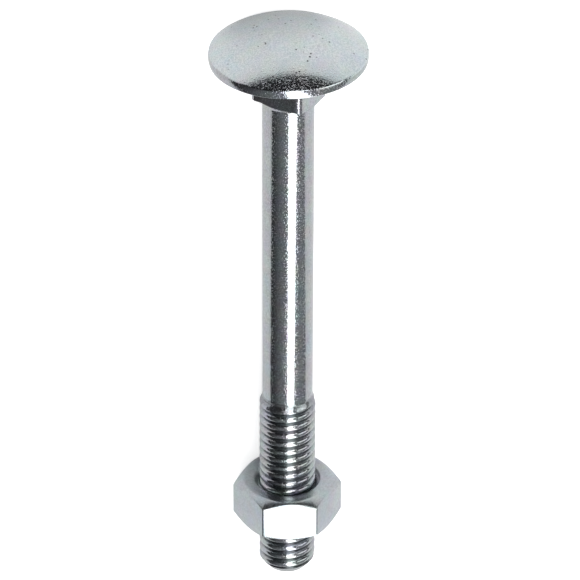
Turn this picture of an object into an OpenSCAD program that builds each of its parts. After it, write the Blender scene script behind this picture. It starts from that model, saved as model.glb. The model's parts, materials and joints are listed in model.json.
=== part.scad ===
// Carriage bolt with a hex nut run onto its thread, lying on its side
// Millimetres. The bolt rests on the rim of its head and on one flat of the nut.

/* [Head] */
// Diameter of the head across its rim
head_d = 15.9; // [14:0.1:20]
// Height of the head, from its bearing face to the top of the dome
head_h = 3.4; // [2.6:0.1:4.6]
// Thickness of the head at its rim
rim_h = 0.8; // [0.6:0.05:1.4]
// Radius of the convex edge round the rim
rim_r = 2; // [1:0.1:3]

/* [Square neck] */
// Width of the square neck across its flats
neck_w = 5.7; // [5.6:0.1:7]
// Depth of the square neck below the head, at the middle of its slanting shoulder
neck_l = 4.4; // [3:0.1:8]
// How much the rounding takes off each corner of the neck
neck_corner_cut = 0.26; // [0.1:0.02:0.5]
// Radius of the fillet where the neck's shoulder runs into the shank
neck_fillet = 0.9; // [0.3:0.05:1]
// Slope of the shoulder, which the forging left out of square
shoulder_slant = 6; // [0:0.5:8]
// Turn round the bolt, from straight up, of the side where the shoulder is lowest
shoulder_turn = -120; // [-180:5:180]
// Turn of the neck round the bolt from its corner straight up
neck_turn = 14; // [0:1:44]

/* [Shank and thread] */
// Length of the bolt under its head
bolt_l = 60.4; // [45:0.1:120]
// Diameter of the plain shank, which is the blank that the thread was rolled on
shank_d = 5.2; // [4.8:0.05:5.4]
// Outer diameter of the thread
thread_d = 5.8; // [5.6:0.05:6.1]
// Pitch of the thread, which is right-handed
pitch = 1; // [0.75:0.05:1.25]
// Length of full thread, from the tip
thread_l = 20; // [12:1:35]
// Length over which the thread rises out of the shank
run_out_l = 1.2; // [0.5:0.1:3]
// Turn of the thread's crest round the bolt
thread_turn = 270; // [0:5:355]
// Diameter of the flat at the tip
tip_d = 4.2; // [3:0.1:5]
// Length of the chamfer at the tip
tip_l = 1; // [0.5:0.1:2]

/* [Nut] */
// Width of the nut across its flats
nut_w = 9.8; // [9:0.1:11.5]
// Height of the nut
nut_h = 4.7; // [3:0.1:6.5]
// Diameter of the round face that the chamfer leaves at each end of the nut
nut_face_d = 9; // [8:0.1:9.6]
// Slope of the chamfer on the corners of the nut
nut_chamfer = 30; // [15:1:40]
// Diameter of the countersink at each end of the bore
countersink_d = 6.9; // [6.4:0.1:7.8]
// Slope of the countersink from the nut's face
countersink_a = 30; // [20:1:50]
// Running gap between the thread's crests and the bore all round
thread_gap = 0.05; // [0.02:0.01:0.08]
// Length of thread that stands out past the nut
thread_past_nut = 5.8; // [1.5:0.1:10]

/* [Hidden] */
$fn = 96;
// How far joined forms reach into each other, and how far their edges keep apart
overlap = 0.5;
edge_gap = 0.05;

head_rad = head_d / 2;
dome_h = head_h - rim_h;
dome_r = (head_rad * head_rad + dome_h * dome_h) / (2 * dome_h);

// Rolled thread, not quite full: a broad crest, flanks at 30 degrees and a narrow root
flank_a = 30;
crest_l = 0.4 * pitch;
thread_depth = 0.45 * pitch;
flank_l = thread_depth * tan(flank_a);
root_l = pitch - crest_l - 2 * flank_l;
root_d = thread_d - 2 * thread_depth;
thread_z = bolt_l - thread_l - run_out_l;
turn_steps = 30;

bore_d = thread_d + 2 * thread_gap;
nut_z = bolt_l - thread_past_nut - nut_h;
nut_edge_z = nut_z + nut_h - max(0, (nut_w - nut_face_d) / 2) * tan(nut_chamfer);

// How it lies: the tilt at which the round rim edge and the far edge of the nut's lower flat touch one plane
rest_across = head_rad - rim_r - nut_w / 2;
rest_along = nut_edge_z + rim_h / 2;
rest_tilt = acos(-rim_r / norm([rest_across, rest_along])) - atan2(rest_along, rest_across);
rest_z = nut_w / 2 * cos(rest_tilt) + nut_edge_z * sin(rest_tilt);
dome_x = (dome_r - head_h) * cos(rest_tilt) - dome_r;
tip_x = bolt_l * cos(rest_tilt) + tip_d / 2 * sin(rest_tilt);
rest_x = -(dome_x + tip_x) / 2;

// Each piece is made along Z: the bearing face under the head is z = 0, the tip is at z = bolt_l,
// and what points along X is on top when the bolt lies down
module lying() {
    translate([rest_x, 0, rest_z])
        rotate([0, 90 + rest_tilt, 0])
            rotate([0, 0, 180])
                children();
}

// Low dome with a convex rim and a flat bearing face
module head() {
    rotate_extrude()
        intersection() {
            translate([0, dome_r - head_h]) circle(r = dome_r);
            union() {
                translate([0, -head_h]) square([head_rad - rim_r, head_h]);
                translate([head_rad - rim_r, -rim_h / 2]) circle(r = rim_r);
            }
            translate([0, -head_h]) square([head_rad, head_h]);
        }
}

// Square bar with its corners rounded, from inside the head to below the shoulder
module neck_bar() {
    bar_l = overlap + neck_l + neck_w;
    translate([0, 0, -overlap])
        intersection() {
            translate([-neck_w / 2, -neck_w / 2, 0]) cube([neck_w, neck_w, bar_l]);
            cylinder(d = neck_w * sqrt(2) - 2 * neck_corner_cut, h = bar_l);
        }
}

// Space above the slanting shoulder, and the concave fillet that runs from it into the shank.
// The fillet ends a little inside the shank, so that its slant leaves no step on the high side.
module shoulder() {
    foot_r = shank_d / 2 - neck_fillet * sin(shoulder_slant);
    translate([0, 0, neck_l])
        rotate([0, -shoulder_slant, shoulder_turn]) {
            translate([0, 0, -2 * neck_l]) cylinder(r = neck_w, h = 2 * neck_l);
            rotate_extrude()
                difference() {
                    square([foot_r + neck_fillet, neck_fillet]);
                    translate([foot_r + neck_fillet, neck_fillet]) circle(r = neck_fillet);
                }
        }
}

module neck() {
    intersection() {
        rotate([0, 0, 45 - neck_turn]) neck_bar();
        shoulder();
    }
}

// Plain shank, which tapers below the thread's roots where the thread rises out of it
module shank() {
    translate([0, 0, -overlap])
        cylinder(d = shank_d, h = thread_z + overlap);
    translate([0, 0, thread_z])
        cylinder(d1 = shank_d, d2 = root_d - 2 * edge_gap, h = run_out_l);
}

// Solid right-handed screw of the thread's form, from z = 0 through a number of whole turns.
// Section i is one pitch high, from the root up the flank to the crest, and its corner 4 would be
// corner 0 of the section one turn on, so point(i, j) gives that one.
module screw(turns) {
    corners = [
        [root_d / 2, 0],
        [root_d / 2, root_l],
        [thread_d / 2, root_l + flank_l],
        [thread_d / 2, root_l + flank_l + crest_l]
    ];
    steps = turns * turn_steps;
    points = [
        for (i = [0 : steps + turn_steps], c = corners) let (a = i * 360 / turn_steps)
            [c[0] * cos(a), c[0] * sin(a), c[1] + i * pitch / turn_steps]
    ];
    low = len(points);
    high = low + 1;
    function point(i, j) = j < 4 ? 4 * i + j : 4 * (i + turn_steps);
    sides = [
        for (i = [0 : steps - 1], j = [0 : 3], lower = [true, false])
            lower ? [point(i, j), point(i, j + 1), point(i + 1, j + 1)]
                : [point(i, j), point(i + 1, j + 1), point(i + 1, j)]
    ];
    ends = concat(
        [for (i = [0 : turn_steps - 1]) [low, point(i, 0), point(i + 1, 0)]],
        [for (j = [0 : 3]) [low, point(0, j + 1), point(0, j)]],
        [for (i = [steps : steps + turn_steps - 1]) [high, point(i + 1, 0), point(i, 0)]],
        [for (j = [0 : 3]) [high, point(steps, j), point(steps, j + 1)]]
    );
    polyhedron(
        points = concat(points, [[0, 0, -pitch], [0, 0, (turns + 2) * pitch]]),
        faces = concat(sides, ends),
        convexity = 8
    );
}

// Threaded end: the screw within an outline that rises from the shank and is chamfered at the tip
module thread() {
    intersection() {
        rotate([0, 0, thread_turn])
            translate([0, 0, thread_z - 2 * pitch])
                screw(ceil((thread_l + run_out_l) / pitch) + 3);
        rotate_extrude()
            polygon([
                [0, thread_z + edge_gap],
                [shank_d / 2 - edge_gap, thread_z + edge_gap],
                [thread_d / 2 + edge_gap, thread_z + run_out_l],
                [thread_d / 2 + edge_gap, bolt_l - tip_l],
                [tip_d / 2, bolt_l],
                [0, bolt_l]
            ]);
    }
}

module bolt() {
    color([0.80, 0.82, 0.84])
        lying() {
            head();
            neck();
            shank();
            thread();
        }
}

// Space that the chamfers at both ends leave for the nut
module nut_chamfers() {
    corner_r = nut_w / sqrt(3) + overlap;
    drop = (corner_r - nut_face_d / 2) * tan(nut_chamfer);
    rotate_extrude()
        polygon([
            [0, 0],
            [nut_face_d / 2, 0],
            [corner_r, drop],
            [corner_r, nut_h - drop],
            [nut_face_d / 2, nut_h],
            [0, nut_h]
        ]);
}

// Bore with a countersink at both ends. It clears the crests, so that the nut can slide along them.
module nut_bore() {
    sink_l = (countersink_d - bore_d) / 2 * tan(countersink_a);
    translate([0, 0, -overlap]) cylinder(d = bore_d, h = nut_h + 2 * overlap);
    for (end = [0, 1])
        translate([0, 0, end * nut_h])
            mirror([0, 0, end])
                cylinder(d1 = countersink_d, d2 = bore_d, h = sink_l);
}

// Hexagon with one flat under it and one on top
module nut() {
    color([0.70, 0.74, 0.77])
        lying()
            translate([0, 0, nut_z])
                difference() {
                    intersection() {
                        rotate([0, 0, 30]) cylinder(r = nut_w / sqrt(3), h = nut_h, $fn = 6);
                        nut_chamfers();
                    }
                    nut_bore();
                }
}

bolt();
nut();
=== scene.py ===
import json
import math

import bpy
from mathutils import Matrix, Vector, noise as solid_noise


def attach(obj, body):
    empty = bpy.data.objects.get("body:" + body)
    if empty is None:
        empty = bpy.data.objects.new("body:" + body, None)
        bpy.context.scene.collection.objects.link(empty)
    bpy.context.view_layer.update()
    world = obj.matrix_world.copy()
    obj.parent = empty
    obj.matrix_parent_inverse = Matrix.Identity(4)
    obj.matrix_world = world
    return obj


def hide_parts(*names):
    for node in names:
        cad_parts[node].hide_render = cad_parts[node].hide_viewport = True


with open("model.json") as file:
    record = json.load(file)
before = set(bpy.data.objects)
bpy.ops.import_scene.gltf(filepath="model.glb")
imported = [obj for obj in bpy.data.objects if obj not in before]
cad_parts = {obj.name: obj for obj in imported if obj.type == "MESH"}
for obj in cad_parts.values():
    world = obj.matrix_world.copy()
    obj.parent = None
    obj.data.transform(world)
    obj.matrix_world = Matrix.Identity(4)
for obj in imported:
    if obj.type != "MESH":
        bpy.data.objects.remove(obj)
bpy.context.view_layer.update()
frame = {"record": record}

MM = 0.001
TURN = 2 * math.pi

# Sizes of the bolt in millimetres, along its own axis from the bearing face under the head.
# The head is 0.025 mm narrower and 0.015 mm lower than in the CAD, so that it stays within the
# CAD's box where it leans.
HEAD_D = 15.875
HEAD_H = 3.385
RIM_H = 0.8
RIM_R = 2.0
HEAD_LEAN_UP = math.radians(0.94)
HEAD_LEAN_SIDE = math.radians(0.89)
NECK_W = 5.7
NECK_L = 4.4
NECK_CORNER_R = 0.63
NECK_FILLET = 0.9
SHOULDER_SLANT = math.radians(6)
SHOULDER_TURN = math.radians(-120)
NECK_TURN = math.radians(45 - 14)
BOLT_L = 60.4
SHANK_D = 5.2
THREAD_D = 5.8
THREAD_DEPTH = 0.45
PITCH = 1.0
THREAD_L = 20.0
THREAD_TURN = math.radians(270)
RUN_OUT_L = 1.2
TIP_D = 4.2
TIP_L = 1.0
THREAD_Z = BOLT_L - THREAD_L - RUN_OUT_L
ROOT_MIDDLE = 0.04

# Sizes of the nut
NUT_W = 9.8
NUT_H = 4.7
NUT_FACE_D = 9.0
NUT_CHAMFER = math.radians(30)
COUNTERSINK_D = 6.9
COUNTERSINK_A = math.radians(30)
THREAD_GAP = 0.05

# How far joined or cutting forms reach past each other, the whole turns that a helix has to spare at
# each end, how near each other two points are one, and, in metres, how near a cut a point is on it
OVERLAP = 0.5
SPARE_TURNS = 2
SAME_POINT = 0.0005
ON_CUT_M = 1e-7

# Radii of the rounded edges
EDGE_R = 0.05
NUT_EDGE_R = 0.13

# The thread's first turns are rough: how high and how far, the length over which that sets in, the
# bumps and the scuffs per millimetre, and the scuffs' mean strength
THREAD_ROUGH = 0.035
THREAD_ROUGH_L = 3.2
ROUGH_RISE_L = 0.4
BUMPS_PER_MM = 4.5
SCUFFS_PER_MM = 2.3
SCUFF_MEAN = 0.5

# Facets on each full turn and on each arc, and the sharpest bend that is shaded smooth
LATHE_STEPS = 180
NUT_END_STEPS = 360
THREAD_STEPS = 120
TAP_STEPS = 90
DOME_STEPS = 48
RIM_STEPS = 12
FILLET_STEPS = 12
CORNER_STEPS = 8
SMOOTH_A = math.radians(28)

# Finish of the plating: its grain, tints and pits, how far the dome, whose zinc is painted lighter as
# painted light, reaches into the rim, and how much more satin it is
GRAIN_PER_METRE = 6500
TINTS_PER_METRE = 600
PITS_PER_METRE = 1500
PIT_PATCHES_PER_METRE = 450
PIT_DEPTH = 3
PIT_COLOR = (0.08, 0.08, 0.09, 1)
DOME_BAND = 0.1
DOME_SATIN = 0.04

# Where the pieces lie: from the places of the head's seat and the nut's seat in the record
mounts = {mount["name"]: mount for mount in frame["record"]["mounts"]}
seat = Vector(mounts["head_seat"]["pos_m"])
along = Vector(mounts["head_seat"]["axis"]).normalized()
side = Vector((0, -1, 0))
above = side.cross(along)
nut_z = (Vector(mounts["nut_seat"]["pos_m"]) - seat).length / MM
lying = Matrix.Translation(seat) @ Matrix((above, side, along)).transposed().to_4x4()


def only(obj):
    """Selects this object alone and makes it the active one."""
    bpy.ops.object.select_all(action="DESELECT")
    obj.select_set(True)
    bpy.context.view_layer.objects.active = obj
    return obj


def named(name):
    """Names the object that an operator has just added."""
    bpy.context.object.name = name
    return bpy.context.object


def arc(centre, radius, start, end, steps):
    """Points on an arc in the plane of radius and height, with its angles from straight outwards."""
    angles = [start + (end - start) * i / steps for i in range(steps + 1)]
    return [(centre[0] + radius * math.cos(a), centre[1] + radius * math.sin(a)) for a in angles]


def draw_line(name, points):
    """Draws an open line of (radius, height) points by extruding one vertex from point to point."""
    bpy.ops.object.select_all(action="DESELECT")
    bpy.ops.mesh.primitive_plane_add(size=MM, location=(0, 0, 0))
    line = named(name)
    bpy.ops.object.mode_set(mode="EDIT")
    bpy.ops.mesh.select_mode(type="VERT")
    bpy.ops.mesh.select_all(action="SELECT")
    bpy.ops.mesh.merge(type="CENTER")
    bpy.ops.transform.translate(value=(points[0][0] * MM, 0, points[0][1] * MM))
    for (r0, z0), (r1, z1) in zip(points, points[1:]):
        step = ((r1 - r0) * MM, 0, (z1 - z0) * MM)
        bpy.ops.mesh.extrude_vertices_move(TRANSFORM_OT_translate={"value": step})
    bpy.ops.object.mode_set(mode="OBJECT")
    return line


def weld(obj):
    """Merges doubles and points all faces outwards."""
    only(obj)
    bpy.ops.object.mode_set(mode="EDIT")
    bpy.ops.mesh.select_all(action="SELECT")
    bpy.ops.mesh.remove_doubles(threshold=SAME_POINT * MM)
    bpy.ops.mesh.normals_make_consistent(inside=False)
    bpy.ops.object.mode_set(mode="OBJECT")
    return obj


def lathe(name, points, steps=LATHE_STEPS):
    """Turns a line of (radius, height) points into a solid of revolution."""
    obj = only(draw_line(name, points))
    bpy.ops.object.mode_set(mode="EDIT")
    bpy.ops.mesh.select_all(action="SELECT")
    bpy.ops.mesh.spin(steps=steps, angle=TURN, center=(0, 0, 0), axis=(0, 0, 1))
    bpy.ops.object.mode_set(mode="OBJECT")
    return weld(obj)


def place(obj, matrix):
    """Moves an object's mesh, so that the object itself stays at the origin."""
    only(obj)
    obj.matrix_world = matrix @ obj.matrix_world
    bpy.ops.object.transform_apply(location=True, rotation=True, scale=True)
    return obj


def combine(obj, other, operation):
    """Joins obj with another solid, which is used up, or cuts it by that or keeps what both share."""
    only(obj)
    boolean = obj.modifiers.new(operation.lower(), "BOOLEAN")
    boolean.operation = operation
    boolean.solver = "EXACT"
    boolean.object = other
    bpy.ops.object.modifier_apply(modifier=boolean.name)
    bpy.data.objects.remove(other)
    return obj


def round_edges(obj, width, angle, segments):
    """Rounds every edge that is sharper than the angle."""
    only(obj)
    bevel = obj.modifiers.new("rounded edges", "BEVEL")
    bevel.width = width * MM
    bevel.segments = segments
    bevel.limit_method = "ANGLE"
    bevel.angle_limit = angle
    bevel.use_clamp_overlap = True
    bpy.ops.object.modifier_apply(modifier=bevel.name)
    return obj


def cut(obj, height, keep_above, fill):
    """Cuts the mesh level at a height, keeps one side and leaves the cut selected in edit mode."""
    only(obj)
    bpy.ops.object.mode_set(mode="EDIT")
    bpy.ops.mesh.select_all(action="SELECT")
    bpy.ops.mesh.bisect(
        plane_co=(0, 0, height * MM),
        plane_no=(0, 0, 1),
        use_fill=fill,
        clear_inner=keep_above,
        clear_outer=not keep_above,
        threshold=ON_CUT_M,
    )


def thread_line(grow):
    """One pitch of the thread's outline as (radius, height) points: a narrow root and flanks that bend
    into a broad crest, as rolling leaves it."""
    root_r = THREAD_D / 2 - THREAD_DEPTH * PITCH + grow
    # Step along the bolt and rise, from the middle of the root to the middle of the crest
    half = [
        (0, 0),
        (0.04, 0.01),
        (0.10, 0.14),
        (0.17, 0.28),
        (0.23, 0.37),
        (0.30, 0.42),
        (0.38, 0.443),
        (0.50, 0.45),
    ]
    rising = [(root_r + rise, ROOT_MIDDLE + step) for step, rise in half]
    falling = [(root_r + rise, ROOT_MIDDLE + PITCH - step) for step, rise in reversed(half[:-1])]
    return rising + falling


def helix(name, grow, start, end, steps):
    """An open right-handed screw surface that reaches past both heights, in one phase for bolt and
    nut."""
    obj = only(draw_line(name, thread_line(grow)))
    first = math.floor((start - THREAD_Z) / PITCH) - SPARE_TURNS
    turns = math.ceil((end - start) / PITCH) + 2 * SPARE_TURNS
    obj.location.z = (THREAD_Z + first * PITCH) * MM
    obj.rotation_euler.z = THREAD_TURN
    bpy.ops.object.transform_apply(location=True, rotation=True, scale=True)
    screw = obj.modifiers.new("helix", "SCREW")
    screw.axis = "Z"
    screw.angle = TURN
    screw.screw_offset = PITCH * MM
    screw.iterations = turns
    screw.steps = screw.render_steps = steps
    bpy.ops.object.modifier_apply(modifier=screw.name)
    return weld(obj)


def ease(t):
    """Smooth step from 0 to 1."""
    t = min(max(t, 0), 1)
    return t * t * (3 - 2 * t)


def fade_thread(obj):
    """Lets the thread rise out of the blank over its run-out, roughens its first turns, and chamfers
    its end at the tip."""
    blank_r = SHANK_D / 2
    for vertex in obj.data.vertices:
        x, y, z = (c / MM for c in vertex.co)
        r = math.hypot(x, y)
        depth = ease((z - THREAD_Z) / RUN_OUT_L)
        new_r = blank_r + (r - blank_r) * depth
        rough = ease((z - THREAD_Z) / ROUGH_RISE_L) * (1 - ease((z - THREAD_Z) / THREAD_ROUGH_L))
        new_r += THREAD_ROUGH * rough * solid_noise.noise(Vector((x, y, z)) * BUMPS_PER_MM)
        new_r = min(new_r, THREAD_D / 2)
        chamfer_r = TIP_D / 2 + (BOLT_L - z) * (THREAD_D - TIP_D) / 2 / TIP_L
        new_r = min(new_r, chamfer_r)
        vertex.co.x *= new_r / r
        vertex.co.y *= new_r / r


def make_rod():
    """The threaded end and, drawn out of its upper edge, the plain shank, as one closed solid."""
    rod = helix("bolt_rod", 0, THREAD_Z - PITCH, BOLT_L, THREAD_STEPS)
    fade_thread(rod)
    cut(rod, BOLT_L, keep_above=False, fill=True)
    bpy.ops.object.mode_set(mode="OBJECT")
    cut(rod, THREAD_Z - OVERLAP, keep_above=True, fill=False)
    bpy.ops.mesh.extrude_region_move(
        TRANSFORM_OT_translate={"value": (0, 0, -THREAD_Z * MM)}
    )
    bpy.ops.mesh.edge_face_add()
    bpy.ops.object.mode_set(mode="OBJECT")
    return weld(rod)


def make_head():
    """Low dome with a crisp edge, a convex rim and a flat bearing face, a degree out of square as the
    forging left it."""
    head_r = HEAD_D / 2
    dome_h = HEAD_H - RIM_H
    dome_r = (head_r**2 + dome_h**2) / (2 * dome_h)
    dome_centre = (0, dome_r - HEAD_H)
    rim_centre = (head_r - RIM_R, -RIM_H / 2)
    # The angle from the axis at which the dome's arc meets the rim's arc
    gap = math.hypot(rim_centre[0], dome_centre[1] - rim_centre[1])
    lean = math.atan2(rim_centre[0], dome_centre[1] - rim_centre[1])
    spread = math.acos((dome_r**2 + gap**2 - RIM_R**2) / (2 * dome_r * gap))
    edge_a = lean + spread
    edge = (dome_r * math.sin(edge_a), dome_centre[1] - dome_r * math.cos(edge_a))
    rim_start = math.atan2(edge[1] - rim_centre[1], edge[0] - rim_centre[0])
    rim_end = math.asin(RIM_H / 2 / RIM_R)
    dome = arc(dome_centre, dome_r, -math.pi / 2, edge_a - math.pi / 2, DOME_STEPS)
    rim = arc(rim_centre, RIM_R, rim_start, rim_end, RIM_STEPS)
    head = lathe("bolt", dome + rim[1:] + [(0, 0)])
    round_edges(head, EDGE_R, angle=math.radians(20), segments=3)
    lean_up = Matrix.Rotation(-HEAD_LEAN_UP, 4, "Y")
    lean_side = Matrix.Rotation(HEAD_LEAN_SIDE, 4, "X")
    return place(head, lean_up @ lean_side)


def make_neck():
    """Square neck with rounded corners, cut at a slanting shoulder that runs into the shank in a
    fillet."""
    length = OVERLAP + NECK_L + NECK_W
    bar_middle = (0, 0, (length / 2 - OVERLAP) * MM)
    bar_size = (NECK_W * MM, NECK_W * MM, length * MM)
    bpy.ops.object.select_all(action="DESELECT")
    bpy.ops.mesh.primitive_cube_add(size=1, location=bar_middle, scale=bar_size)
    neck = named("neck")
    bpy.ops.object.transform_apply(location=True, rotation=True, scale=True)
    bpy.ops.object.mode_set(mode="EDIT")
    bpy.ops.mesh.select_all(action="DESELECT")
    bpy.ops.object.mode_set(mode="OBJECT")
    for line in neck.data.edges:
        low, high = (neck.data.vertices[i].co for i in line.vertices)
        line.select = abs(low.z - high.z) > NECK_L * MM
    bpy.ops.object.mode_set(mode="EDIT")
    bpy.ops.mesh.select_mode(type="EDGE")
    bpy.ops.mesh.bevel(offset=NECK_CORNER_R * MM, segments=CORNER_STEPS)
    bpy.ops.object.mode_set(mode="OBJECT")
    place(neck, Matrix.Rotation(NECK_TURN, 4, "Z"))

    foot_r = SHANK_D / 2 - NECK_FILLET * math.sin(SHOULDER_SLANT)
    fillet_centre = (foot_r + NECK_FILLET, NECK_FILLET)
    fillet = arc(fillet_centre, NECK_FILLET, -math.pi / 2, -math.pi, FILLET_STEPS)
    top = -2 * NECK_L
    outside = [(0, top), (NECK_W, top), (NECK_W, 0)]
    shoulder = lathe("shoulder", outside + fillet + [(0, NECK_FILLET)])
    slant = Matrix.Rotation(SHOULDER_TURN, 4, "Z") @ Matrix.Rotation(-SHOULDER_SLANT, 4, "Y")
    place(shoulder, Matrix.Translation((0, 0, NECK_L * MM)) @ slant)
    combine(neck, shoulder, "INTERSECT")
    return round_edges(neck, EDGE_R, angle=math.radians(40), segments=2)


def make_bolt():
    """Head, neck and rod, joined into one solid."""
    bolt = make_head()
    combine(bolt, make_neck(), "UNION")
    combine(bolt, make_rod(), "UNION")
    return bolt


def make_nut():
    """Hexagon with both ends chamfered and its edges softened, then bored, countersunk and tapped."""
    bpy.ops.object.select_all(action="DESELECT")
    bpy.ops.mesh.primitive_cylinder_add(
        vertices=6,
        radius=NUT_W / math.sqrt(3) * MM,
        depth=(NUT_H + 2 * OVERLAP) * MM,
        location=(0, 0, NUT_H / 2 * MM),
    )
    nut = named("nut")
    bpy.ops.object.transform_apply(location=True, rotation=True, scale=True)
    corner_r = NUT_W / math.sqrt(3) + OVERLAP
    face_r = NUT_FACE_D / 2
    drop = (corner_r - face_r) * math.tan(NUT_CHAMFER)
    ends = [
        (0, 0),
        (face_r, 0),
        (corner_r, drop),
        (corner_r, NUT_H - drop),
        (face_r, NUT_H),
        (0, NUT_H),
    ]
    combine(nut, lathe("nut_ends", ends, NUT_END_STEPS), "INTERSECT")
    round_edges(nut, NUT_EDGE_R, angle=math.radians(20), segments=3)

    bore_r = THREAD_D / 2 - THREAD_DEPTH * PITCH + THREAD_GAP
    mouth_r = COUNTERSINK_D / 2
    past = OVERLAP / math.tan(COUNTERSINK_A)
    sink = (mouth_r - bore_r) * math.tan(COUNTERSINK_A)
    mouths = [
        (0, -OVERLAP),
        (mouth_r + past, -OVERLAP),
        (bore_r, sink),
        (bore_r, NUT_H - sink),
        (mouth_r + past, NUT_H + OVERLAP),
        (0, NUT_H + OVERLAP),
    ]
    combine(nut, lathe("nut_mouths", mouths), "DIFFERENCE")
    place(nut, Matrix.Translation((0, 0, nut_z * MM)))
    tap = helix("tap", THREAD_GAP, nut_z, nut_z + NUT_H, TAP_STEPS)
    cut(tap, nut_z - OVERLAP, keep_above=True, fill=True)
    bpy.ops.object.mode_set(mode="OBJECT")
    cut(tap, nut_z + NUT_H + OVERLAP, keep_above=False, fill=True)
    bpy.ops.object.mode_set(mode="OBJECT")
    weld(tap)
    combine(nut, tap, "DIFFERENCE")
    return nut


def mark_grooves(obj):
    """Stores how deep each point lies in the thread, with its first turns scuffed, and which points are
    on the dome, for the materials."""
    groove = obj.data.attributes.new("groove", "FLOAT", "POINT")
    dome = obj.data.attributes.new("dome", "FLOAT", "POINT")
    for vertex, deep, domed in zip(obj.data.vertices, groove.data, dome.data):
        x, y, z = (c / MM for c in vertex.co)
        r = math.hypot(x, y)
        threaded = z > THREAD_Z and r < THREAD_D / 2 + 2 * THREAD_GAP
        depth = (THREAD_D / 2 - r) / THREAD_DEPTH
        scuff = SCUFF_MEAN + solid_noise.noise(Vector((x, y, z)) * SCUFFS_PER_MM)
        scuff = (1 - ease((z - THREAD_Z) / THREAD_ROUGH_L)) * scuff
        deep.value = min(max(depth, scuff, 0), 1) if threaded else 0
        domed.value = 1 if z < -RIM_H + DOME_BAND else 0


def finish_mesh(obj, body, material):
    """Lays the piece down with the CAD, smooths its shading and hands it to its body."""
    weld(obj)
    mark_grooves(obj)
    place(obj, lying)
    bpy.ops.object.shade_smooth_by_angle(angle=SMOOTH_A)
    obj.data.materials.clear()
    obj.data.materials.append(material)
    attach(obj, body)


def socket(group, name, kind, way, value=None):
    """Adds one named input or output to a node group."""
    made = group.interface.new_socket(name=name, in_out=way, socket_type=kind)
    if value is not None:
        made.default_value = value


def math_node(nodes, links, operation, *values):
    """A Math node whose inputs are numbers or other nodes' outputs."""
    made = nodes.new("ShaderNodeMath")
    made.operation = operation
    for slot, value in zip(made.inputs, values):
        if isinstance(value, (int, float)):
            slot.default_value = value
        else:
            links.new(value, slot)
    return made.outputs["Value"]


def ramp(nodes, links, value, low, high):
    """A smooth step of a value from 0 at low to 1 at high, where low may be the larger."""
    made = nodes.new("ShaderNodeMapRange")
    made.interpolation_type = "SMOOTHSTEP"
    made.inputs["From Min"].default_value = low
    made.inputs["From Max"].default_value = high
    links.new(value, made.inputs["Value"])
    return made.outputs["Result"]


def mix_color(nodes, links, blend, factor, first, second):
    """A colour Mix node in the given blend type, whose colours are its inputs 6 and 7 and output 2."""
    made = nodes.new("ShaderNodeMix")
    made.data_type = "RGBA"
    made.blend_type = blend
    for slot, value in ((made.inputs[0], factor), (made.inputs[6], first), (made.inputs[7], second)):
        if isinstance(value, (int, float, tuple)):
            slot.default_value = value
        else:
            links.new(value, slot)
    return made.outputs[2]


def noise(nodes, links, place_on, scale, detail):
    """A noise texture on the piece's own coordinates, with its scale in features per metre."""
    made = nodes.new("ShaderNodeTexNoise")
    made.inputs["Detail"].default_value = detail
    links.new(place_on.outputs["Object"], made.inputs["Vector"])
    if isinstance(scale, (int, float)):
        made.inputs["Scale"].default_value = scale
    else:
        links.new(scale, made.inputs["Scale"])
    return made


def make_plating_group():
    """Zinc plating: a fine speckled grain, faint passivation tints and a roughness that wanders a
    little."""
    group = bpy.data.node_groups.new("zinc_plating", "ShaderNodeTree")
    socket(group, "Zinc", "NodeSocketColor", "INPUT", (0.66, 0.7, 0.72, 1))
    socket(group, "Tint", "NodeSocketFloat", "INPUT", 0.25)
    socket(group, "Speckle", "NodeSocketFloat", "INPUT", 0.3)
    socket(group, "Grain per Metre", "NodeSocketFloat", "INPUT", GRAIN_PER_METRE)
    socket(group, "Roughness", "NodeSocketFloat", "INPUT", 0.15)
    socket(group, "Roughness Spread", "NodeSocketFloat", "INPUT", 0.1)
    socket(group, "Color", "NodeSocketColor", "OUTPUT")
    socket(group, "Roughness", "NodeSocketFloat", "OUTPUT")
    socket(group, "Height", "NodeSocketFloat", "OUTPUT")
    nodes, links = group.nodes, group.links
    given = nodes.new("NodeGroupInput")
    result = nodes.new("NodeGroupOutput")
    place_on = nodes.new("ShaderNodeTexCoord")

    zinc, tint_amount = given.outputs["Zinc"], given.outputs["Tint"]
    tint = noise(nodes, links, place_on, scale=TINTS_PER_METRE, detail=3)
    tinted = mix_color(nodes, links, "OVERLAY", tint_amount, zinc, tint.outputs["Color"])
    grain = noise(nodes, links, place_on, scale=given.outputs["Grain per Metre"], detail=2)
    grain = grain.outputs["Fac"]
    sharp_grain = ramp(nodes, links, grain, low=0.3, high=0.7)
    speckled = mix_color(nodes, links, "OVERLAY", given.outputs["Speckle"], tinted, sharp_grain)
    links.new(speckled, result.inputs["Color"])
    # Most of the surface is smooth, with sparse grains standing out of it
    standing = ramp(nodes, links, grain, low=0.52, high=0.7)
    links.new(standing, result.inputs["Height"])
    spread = math_node(nodes, links, "MULTIPLY", grain, given.outputs["Roughness Spread"])
    roughness = math_node(nodes, links, "ADD", spread, given.outputs["Roughness"])
    links.new(roughness, result.inputs["Roughness"])
    return group


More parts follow.
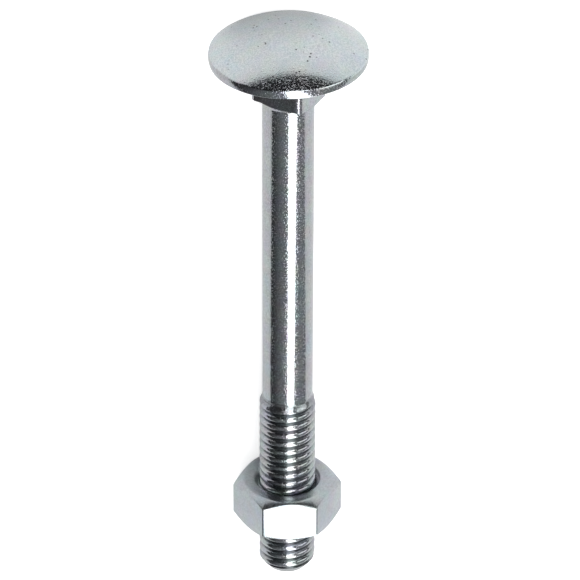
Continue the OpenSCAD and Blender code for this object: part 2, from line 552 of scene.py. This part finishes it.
def make_groove_group():
    """Painted shade in the thread's grooves, with some dull residue: darkens and roughens by each
    point's stored depth in it.
    """
    group = bpy.data.node_groups.new("groove_shade_and_residue", "ShaderNodeTree")
    socket(group, "Color", "NodeSocketColor", "INPUT")
    socket(group, "Shade and Residue", "NodeSocketColor", "INPUT", (0.17, 0.18, 0.19, 1))
    socket(group, "Amount", "NodeSocketFloat", "INPUT", 0.5)
    socket(group, "Roughness", "NodeSocketFloat", "INPUT", 0.15)
    socket(group, "Dullness", "NodeSocketFloat", "INPUT", 0.07)
    socket(group, "Color", "NodeSocketColor", "OUTPUT")
    socket(group, "Roughness", "NodeSocketFloat", "OUTPUT")
    nodes, links = group.nodes, group.links
    given = nodes.new("NodeGroupInput")
    result = nodes.new("NodeGroupOutput")
    depth = nodes.new("ShaderNodeAttribute")
    depth.attribute_name = "groove"
    # Painted shade with some residue: the deeper in the groove, the darker
    deep = ramp(nodes, links, depth.outputs["Fac"], low=0.2, high=0.5)
    amount = math_node(nodes, links, "MULTIPLY", deep, given.outputs["Amount"])
    clean, shade_and_residue = given.outputs["Color"], given.outputs["Shade and Residue"]
    shaded_and_dulled = mix_color(nodes, links, "MIX", amount, clean, shade_and_residue)
    links.new(shaded_and_dulled, result.inputs["Color"])
    dullness = math_node(nodes, links, "MULTIPLY", deep, given.outputs["Dullness"])
    roughness = math_node(nodes, links, "ADD", given.outputs["Roughness"], dullness)
    links.new(roughness, result.inputs["Roughness"])
    return group


def make_pit_group():
    """Tiny pits scattered over the dome: a mask that is 1 in a pit, thinned out by a coarser noise."""
    group = bpy.data.node_groups.new("dome_pits", "ShaderNodeTree")
    socket(group, "Pits per Metre", "NodeSocketFloat", "INPUT", PITS_PER_METRE)
    socket(group, "Mask", "NodeSocketFloat", "OUTPUT")
    nodes, links = group.nodes, group.links
    given = nodes.new("NodeGroupInput")
    result = nodes.new("NodeGroupOutput")
    place_on = nodes.new("ShaderNodeTexCoord")
    cells = nodes.new("ShaderNodeTexVoronoi")
    links.new(place_on.outputs["Object"], cells.inputs["Vector"])
    links.new(given.outputs["Pits per Metre"], cells.inputs["Scale"])
    pit = ramp(nodes, links, cells.outputs["Distance"], low=0.2, high=0.08)
    patch = noise(nodes, links, place_on, scale=PIT_PATCHES_PER_METRE, detail=1)
    crowd = ramp(nodes, links, patch.outputs["Fac"], low=0.45, high=0.6)
    on_dome = nodes.new("ShaderNodeAttribute")
    on_dome.attribute_name = "dome"
    thinned = math_node(nodes, links, "MULTIPLY", pit, crowd)
    mask = math_node(nodes, links, "MULTIPLY", thinned, on_dome.outputs["Fac"])
    links.new(mask, result.inputs["Mask"])
    return group


def zinc_material(name, groups, color, painted_dome_color, tint, speckle, roughness, spread, bump):
    """Bright zinc-plated steel, made of the shared groups with this piece's values, with painted shade
    in the thread's grooves, a lighter zinc on the dome as painted light, and more satin on the dome. The
    bump's height is in millimetres."""
    material = bpy.data.materials.new(name)
    material.use_nodes = True
    nodes, links = material.node_tree.nodes, material.node_tree.links
    shader = nodes["Principled BSDF"]
    shader.inputs["Metallic"].default_value = 1
    on_dome = nodes.new("ShaderNodeAttribute")
    on_dome.attribute_name = "dome"
    domed = ramp(nodes, links, on_dome.outputs["Fac"], low=0.0, high=1.0)
    plating = nodes.new("ShaderNodeGroup")
    plating.node_tree = groups["plating"]
    # The dome's zinc is painted lighter than the rest of the piece: painted light
    zinc = mix_color(nodes, links, "MIX", domed, (*color, 1), (*painted_dome_color, 1))
    links.new(zinc, plating.inputs["Zinc"])
    plating.inputs["Tint"].default_value = tint
    plating.inputs["Speckle"].default_value = speckle
    plating.inputs["Grain per Metre"].default_value = GRAIN_PER_METRE
    plating.inputs["Roughness"].default_value = roughness
    plating.inputs["Roughness Spread"].default_value = spread
    # Painted shade, with some dull residue, darkens the thread's grooves by their depth
    grooves = nodes.new("ShaderNodeGroup")
    grooves.node_tree = groups["grooves"]
    links.new(plating.outputs["Color"], grooves.inputs["Color"])
    links.new(plating.outputs["Roughness"], grooves.inputs["Roughness"])
    pits = nodes.new("ShaderNodeGroup")
    pits.node_tree = groups["pits"]
    pit_mask = pits.outputs["Mask"]
    pitted = mix_color(nodes, links, "MIX", pit_mask, grooves.outputs["Color"], PIT_COLOR)
    links.new(pitted, shader.inputs["Base Color"])
    satin = math_node(nodes, links, "MULTIPLY", domed, DOME_SATIN)
    satin_roughness = math_node(nodes, links, "ADD", grooves.outputs["Roughness"], satin)
    links.new(satin_roughness, shader.inputs["Roughness"])
    relief = nodes.new("ShaderNodeBump")
    relief.inputs["Distance"].default_value = bump * MM
    relief.inputs["Strength"].default_value = 1
    sunk = math_node(nodes, links, "MULTIPLY", pit_mask, PIT_DEPTH)
    height = math_node(nodes, links, "SUBTRACT", plating.outputs["Height"], sunk)
    links.new(height, relief.inputs["Height"])
    links.new(relief.outputs["Normal"], shader.inputs["Normal"])
    return material


# How the camera sees the bolt: leaning from square-on towards the head, and a little to one side. It
# stands off from a point on the bolt's axis, so far along from the head's seat, and aims just beside it.
VIEW_LEAN = math.radians(32.44)
VIEW_SIDE = math.radians(3.14)
VIEW_ROLL = math.radians(0.178)
VIEW_D = 498 * MM
VIEW_AT = 30 * MM
AIM_RIGHT = 0.227 * MM
AIM_UP = 2.586 * MM
LENS = 304.1

# Where the lamps hang: each strip's turn to the right, the lean of one towards the tip and the rise
# of the other past the head, and how far the softbox is towards the camera, the right and the head
STRIP_A = math.radians(15)
STRIP_TIP_LEAN = math.radians(37)
STRIP_HEAD_A = math.radians(12)
STRIP_HEAD_UP = math.radians(51)
SOFTBOX_WAY = (0.5, 0.86, 0.1)

# The room's colours: most of it, its glow on the right, and its dark side past the head
ROOM_DIM = (0.063, 0.065, 0.067, 1)
ROOM_GLOW = (0.34, 0.35, 0.36, 1)
ROOM_DARK = (0.013, 0.013, 0.014, 1)
GLOW_A = math.radians(35)

# The floor: its paint, and its glow for the camera alone and for all rays
FLOOR_SIZE = 8
FLOOR_PAINT = (0.85, 0.85, 0.85, 1)
FLOOR_GLOW = 0.6
FLOOR_FILL = 0.07

head_way = -along
view_right = math.cos(VIEW_SIDE) * Vector((0, 1, 0)) + math.sin(VIEW_SIDE) * above
view_out = math.cos(VIEW_SIDE) * above - math.sin(VIEW_SIDE) * Vector((0, 1, 0))
view_in = -math.cos(VIEW_LEAN) * view_out - math.sin(VIEW_LEAN) * head_way
view_up = -math.sin(VIEW_LEAN) * view_out + math.cos(VIEW_LEAN) * head_way
middle = seat + along * VIEW_AT


def make_camera():
    """The camera at the photo's angle and distance, with a long lens."""
    data = bpy.data.cameras.new("camera")
    data.lens = LENS
    data.sensor_width = 36
    data.clip_start = 0.01
    data.clip_end = 50
    camera = bpy.data.objects.new("camera", data)
    bpy.context.scene.collection.objects.link(camera)
    right = math.cos(VIEW_ROLL) * view_right + math.sin(VIEW_ROLL) * view_up
    up = math.cos(VIEW_ROLL) * view_up - math.sin(VIEW_ROLL) * view_right
    eye = middle - view_in * VIEW_D
    back = (eye - middle - right * AIM_RIGHT - up * AIM_UP).normalized()
    right = (right - back * right.dot(back)).normalized()
    up = back.cross(right)
    turn = Matrix((right, up, back)).transposed().to_4x4()
    camera.matrix_world = Matrix.Translation(eye) @ turn
    bpy.context.scene.camera = camera


def soft_light(name, way, distance, size, power):
    """A white rectangular lamp at a distance from the bolt's middle, facing it."""
    data = bpy.data.lights.new(name, "AREA")
    data.shape = "RECTANGLE"
    data.size, data.size_y = size
    data.energy = power
    lamp = bpy.data.objects.new(name, data)
    bpy.context.scene.collection.objects.link(lamp)
    way = way.normalized()
    lamp.location = middle + way * distance
    lamp.rotation_euler = way.to_track_quat("Z", "Y").to_euler()


def make_studio():
    """Pale floor, dim room and three soft lamps."""
    bpy.ops.object.select_all(action="DESELECT")
    bpy.ops.mesh.primitive_plane_add(size=FLOOR_SIZE, location=(0, 0, 0))
    floor = named("floor")
    paint = bpy.data.materials.new("floor_pale")
    paint.use_nodes = True
    nodes, links = paint.node_tree.nodes, paint.node_tree.links
    shader = nodes["Principled BSDF"]
    shader.inputs["Base Color"].default_value = FLOOR_PAINT
    shader.inputs["Roughness"].default_value = 0.9
    shader.inputs["Specular IOR Level"].default_value = 0.1
    shader.inputs["Emission Color"].default_value = (1, 1, 1, 1)
    # It glows most for the camera, so that it is white in the picture and only pale in the plating
    seen_by = nodes.new("ShaderNodeLightPath")
    seen_glow = math_node(nodes, links, "MULTIPLY", seen_by.outputs["Is Camera Ray"], FLOOR_GLOW)
    floor_glow = math_node(nodes, links, "ADD", seen_glow, FLOOR_FILL)
    links.new(floor_glow, shader.inputs["Emission Strength"])
    floor.data.materials.append(paint)

    make_world()
    bpy.context.scene.view_settings.view_transform = "Standard"

    # Two strips end to end over the bolt: the one on the tip's side shows down the shank, a little
    # right of its middle, and the one on the head's side shows in the thread's flanks
    strip_way = math.cos(STRIP_A) * view_out + math.sin(STRIP_A) * view_right
    strip_way = math.cos(STRIP_TIP_LEAN) * strip_way - math.sin(STRIP_TIP_LEAN) * head_way
    soft_light("strip_tip", strip_way, distance=1.5, size=(0.66, 3.1), power=23)
    strip_way = math.cos(STRIP_HEAD_A) * head_way + math.sin(STRIP_HEAD_A) * view_right
    strip_way = math.cos(STRIP_HEAD_UP) * strip_way + math.sin(STRIP_HEAD_UP) * view_out
    soft_light("strip_head", strip_way, distance=1.5, size=(0.55, 1.6), power=10)
    # A softbox at the right draws the thin light line along the rim and doesn't show in the shank
    out, right, headward = SOFTBOX_WAY
    softbox_way = view_out * out + view_right * right + head_way * headward
    soft_light("softbox", softbox_way, distance=2.2, size=(1.6, 1.6), power=11)


def make_world():
    """Dim room with a glow up on the right."""
    world = bpy.data.worlds.new("studio")
    world.use_nodes = True
    nodes, links = world.node_tree.nodes, world.node_tree.links
    way = nodes.new("ShaderNodeTexCoord")
    glow_way = math.cos(GLOW_A) * view_out + math.sin(GLOW_A) * view_right
    glow_way = math.cos(VIEW_LEAN) * glow_way - math.sin(VIEW_LEAN) * head_way
    near = nodes.new("ShaderNodeVectorMath")
    near.operation = "DOT_PRODUCT"
    near.inputs[1].default_value = glow_way
    links.new(way.outputs["Generated"], near.inputs[0])
    glow = ramp(nodes, links, near.outputs["Value"], low=0.0, high=1.0)
    dim = mix_color(nodes, links, "MIX", glow, ROOM_DIM, ROOM_GLOW)
    # The room is darkest straight past the head, which shows in the dome's front
    towards = nodes.new("ShaderNodeVectorMath")
    towards.operation = "DOT_PRODUCT"
    towards.inputs[1].default_value = head_way
    links.new(way.outputs["Generated"], towards.inputs[0])
    dark = ramp(nodes, links, towards.outputs["Value"], low=0.5, high=0.95)
    dimmed = mix_color(nodes, links, "MIX", dark, dim, ROOM_DARK)
    links.new(dimmed, nodes["Background"].inputs["Color"])
    bpy.context.scene.world = world


make_camera()
make_studio()
groups = {
    "plating": make_plating_group(),
    "grooves": make_groove_group(),
    "pits": make_pit_group(),
}
# The bolt's dome is painted a lighter zinc than its shank: painted light
bolt_zinc = zinc_material(
    "bolt_zinc",
    groups,
    color=(0.42, 0.438, 0.455),
    painted_dome_color=(0.575, 0.617, 0.635),
    tint=0.17,
    speckle=0.22,
    roughness=0.07,
    spread=0.08,
    bump=0.0055,
)
nut_zinc = zinc_material(
    "nut_zinc",
    groups,
    color=(0.43, 0.463, 0.484),
    painted_dome_color=(0.43, 0.463, 0.484),
    tint=0.14,
    speckle=0.14,
    roughness=0.2,
    spread=0.08,
    bump=0.0015,
)
bolt = make_bolt()
nut = make_nut()
finish_mesh(bolt, "bolt", bolt_zinc)
finish_mesh(nut, "nut", nut_zinc)
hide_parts("bolt")
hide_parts("nut")
